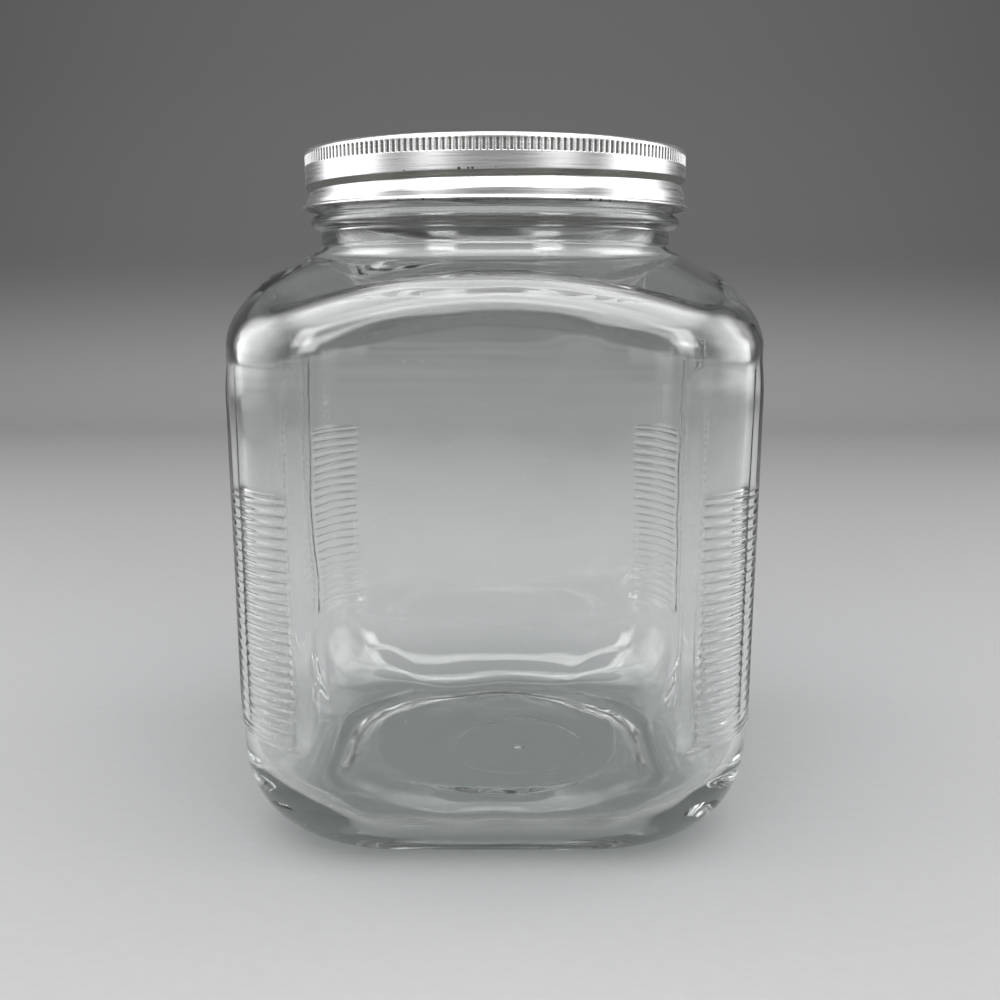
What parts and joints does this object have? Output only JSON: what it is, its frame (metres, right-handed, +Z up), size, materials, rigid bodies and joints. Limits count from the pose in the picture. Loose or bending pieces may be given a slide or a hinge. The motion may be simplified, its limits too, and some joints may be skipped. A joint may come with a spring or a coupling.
{
  "type": "square glass canister",
  "caption": "Square clear-glass storage jar with ribbed corners, sloping shoulders, a round neck and a brushed metal screw lid, empty.",
  "frame": {"origin": "middle of the base, on the surface that the jar stands on", "axes": "+Z up the jar's axis to the lid; X and Y square to the four flat sides, -Y the side seen in the picture"},
  "size_m": [0.1642, 0.1642, 0.2208],
  "materials": {
    "clear_glass": "smooth, faintly wavy clear glass, green-grey in thick edges",
    "brushed_aluminium": "satin, brushed round the side, knurled grip band"
  },
  "bodies": {
    "root": {"jar": "clear_glass", "lid": "brushed_aluminium"}
  },
  "joints": []
}
